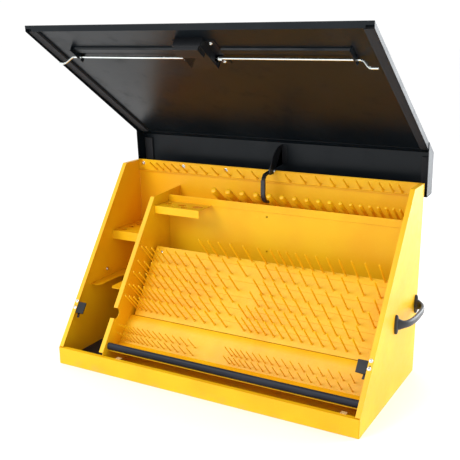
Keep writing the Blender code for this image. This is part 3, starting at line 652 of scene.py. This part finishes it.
def makeStrikerTails():
    # narrow tongue below each striker plate, and a thin black disc painted as the shade of the hole between
    # its screws
    t = strikerTail
    for side in (-1, 1):
        corners = []
        for place, lean in ((t["top"], t["lean"]), (t["foot"], 0.0)):
            for across, off in ((-1, 0), (1, 0), (1, 1), (-1, 1)):
                x = side * t["x"] + across * t["half"] + side * lean
                corners.append(onSlant(x, place, t["lift"] + off * t["thick"]))
        faces = gridFaces(2, 4) + [[3, 2, 1, 0], [4, 5, 6, 7]]
        newPiece(f"striker_tail_{side + 2}", corners, faces, "cabinet", "black_fitting")
        # thin black disc on the flange: painted shade of the hole between the screws
        centre = onSlant(side * strikerHoleShade["x"], strikerHoleShade["place"], strikerHoleShade["lift"])
        hole = turnedShapes(centre, offSlant, strikerHoleShade["profile"], 16)
        newPiece(f"striker_hole_shade_{side + 2}", *hole, "cabinet", "black_fitting")


makeStrikerTails()


housingScrew = {"places": ((0.048, 0.078), (0.0475, 0.158), (-0.045, 0.158)), "lift": 0.0044}
rodNut = {"x": 0.0425, "place": 0.136, "gap": 0.0056,
          "collar": [(0.0058, 0.0), (0.0064, 0.0008), (0.0064, 0.0036), (0.0058, 0.0044)],
          "hexagon": [(0.0056, 0.0), (0.0062, 0.0006), (0.0062, 0.0044), (0.0056, 0.005)]}


def makeLatchFittings():
    # screws around the housing, and a collar and hexagon nut where each rod enters it
    outward = onLid(0.0, 0.1, -0.01) - onLid(0.0, 0.1, 0.0)
    outward /= np.linalg.norm(outward)
    for number, (x, place) in enumerate(housingScrew["places"], 1):
        centre = onLid(x, place, housingScrew["lift"])
        screwHead(f"housing_screw_{number}", centre, outward, screw["small"], "lid")
    for side, body in ((-1, "latch_rod_left"), (1, "latch_rod_right")):
        way = sideways * side
        start = onLid(side * rodNut["x"], rodNut["place"], 0.0)
        collar = turnedShapes(start, way, rodNut["collar"], 24)
        nut = turnedShapes(start + way * rodNut["gap"], way, rodNut["hexagon"], 6)
        newPiece(f"rod_nut_{side + 2}", *merged([collar, nut]), body, "zinc")


makeLatchFittings()

lever = {"middle": 0.0146, "halfWide": 0.0066, "halfThick": 0.0046, "steps": 46,
         "path": [(0.157, 0.516), (0.157, 0.504), (0.157, 0.49), (0.157, 0.475), (0.1592, 0.4672),
                  (0.163, 0.46), (0.168, 0.4549), (0.174, 0.4508), (0.1815, 0.4487), (0.1858, 0.4474)]}
stayRivet = {"centre": (0.0255, 0.209, 0.534), "radius": 0.0055, "height": 0.0024, "crown": 0.7}


def makeLeverBoot():
    # moulded sleeve over the lower part of the stay lever
    path = np.array([(lever["middle"], y, z) for y, z in lever["path"]])
    share = np.linspace(0.0, 1.0, lever["steps"])
    steps = np.linspace(0.0, 1.0, len(path))
    path = np.column_stack([np.interp(share, steps, path[:, axis]) for axis in range(3)])
    boot = tubeAlong(path, lever["halfWide"], lever["halfThick"], 24, 4.5)
    newPiece("lever_boot", *boot, "stay_lever", "black_moulding")
    profile = knob(stayRivet["radius"], stayRivet["height"], stayRivet["crown"])
    head = turnedShapes(stayRivet["centre"], sideways, profile, 24)
    newPiece("stay_rivet_head", *head, "lid", "zinc")


makeLeverBoot()
print("small fittings made")

for node, thing in frame["nodes"].items():
    thing.data.materials.clear()
    thing.data.materials.append(finishes[slotOf[node]])
print("nodes painted")


def makeFloor():
    # a wide pale sheet just under the box
    bpy.ops.mesh.primitive_plane_add(size=60.0, location=(0.0, 0.0, -0.0005))
    floor = bpy.context.object
    floor.name = "floor"
    paint = Paint("floorPaint", Roughness=0.9)
    shade = paint.blend(paint.noise(1.2, 2.0), (0.955, 0.955, 0.955), (0.985, 0.985, 0.985))
    paint.feed("Base Color", shade)
    floor.data.materials.append(paint.material)


lamps = {"key": {"place": (-1.3, -2.4, 2.3), "target": (0.0, 0.0, 0.25), "size": (1.6, 1.6), "power": 52.0,
                 "colour": (1.0, 1.0, 1.0)},
         "back": {"place": (2.2, 2.4, 0.9), "target": (0.3, 0.0, 0.3), "size": (2.6, 2.2), "power": 110.0,
                  "colour": (0.92, 0.96, 1.0)}}
studio = {"colour": (1.0, 1.0, 1.0, 1.0), "strength": 1.05}


def areaLight(name, place, target, size, power, colour):
    # a rectangular light that faces its target
    light = bpy.data.lights.new(name, "AREA")
    light.shape = "RECTANGLE"
    light.size, light.size_y = size
    light.energy = power
    light.color = colour
    lamp = bpy.data.objects.new(name, light)
    lamp.location = place
    lamp.rotation_euler = (Vector(target) - Vector(place)).to_track_quat("-Z", "Y").to_euler()
    lamp.visible_camera = False
    bpy.context.collection.objects.link(lamp)


def makeLight():
    # even white surroundings, a key from the front left and a wide light from behind on the right
    world = bpy.data.worlds.new("studio")
    world.use_nodes = True
    background = world.node_tree.nodes["Background"]
    background.inputs["Color"].default_value = studio["colour"]
    background.inputs["Strength"].default_value = studio["strength"]
    bpy.context.scene.world = world
    for name, lamp in lamps.items():
        areaLight(name, **lamp)


view = {"azimuth": 0.526892, "elevation": 0.293183, "roll": -0.013889, "distance": 2.1676,
        "target": (-0.0552, 0.0, 0.3146), "lens": 60.82, "sensor": 36.0, "shift": (0.03226, 0.06289)}


def makeCamera():
    # a camera at a distance from its target, turned round it by azimuth and elevation, then rolled
    azimuth, elevation, roll = view["azimuth"], view["elevation"], view["roll"]
    back = Vector((math.sin(azimuth) * math.cos(elevation), -math.cos(azimuth) * math.cos(elevation),
                   math.sin(elevation)))
    lens = bpy.data.cameras.new("camera")
    lens.lens = view["lens"]
    lens.sensor_width = view["sensor"]
    lens.shift_x, lens.shift_y = view["shift"]
    camera = bpy.data.objects.new("camera", lens)
    bpy.context.collection.objects.link(camera)
    forward = -back
    right = forward.cross(Vector((0.0, 0.0, 1.0))).normalized()
    up = right.cross(forward)
    tiltedRight = math.cos(roll) * right + math.sin(roll) * up
    tiltedUp = -math.sin(roll) * right + math.cos(roll) * up
    pose = Matrix((tiltedRight, tiltedUp, back)).transposed().to_4x4()
    pose.translation = Vector(view["target"]) + back * view["distance"]
    camera.matrix_world = pose
    bpy.context.scene.camera = camera


makeFloor()
makeLight()
makeCamera()
bpy.context.scene.view_settings.view_transform = "Standard"
print("stage set")
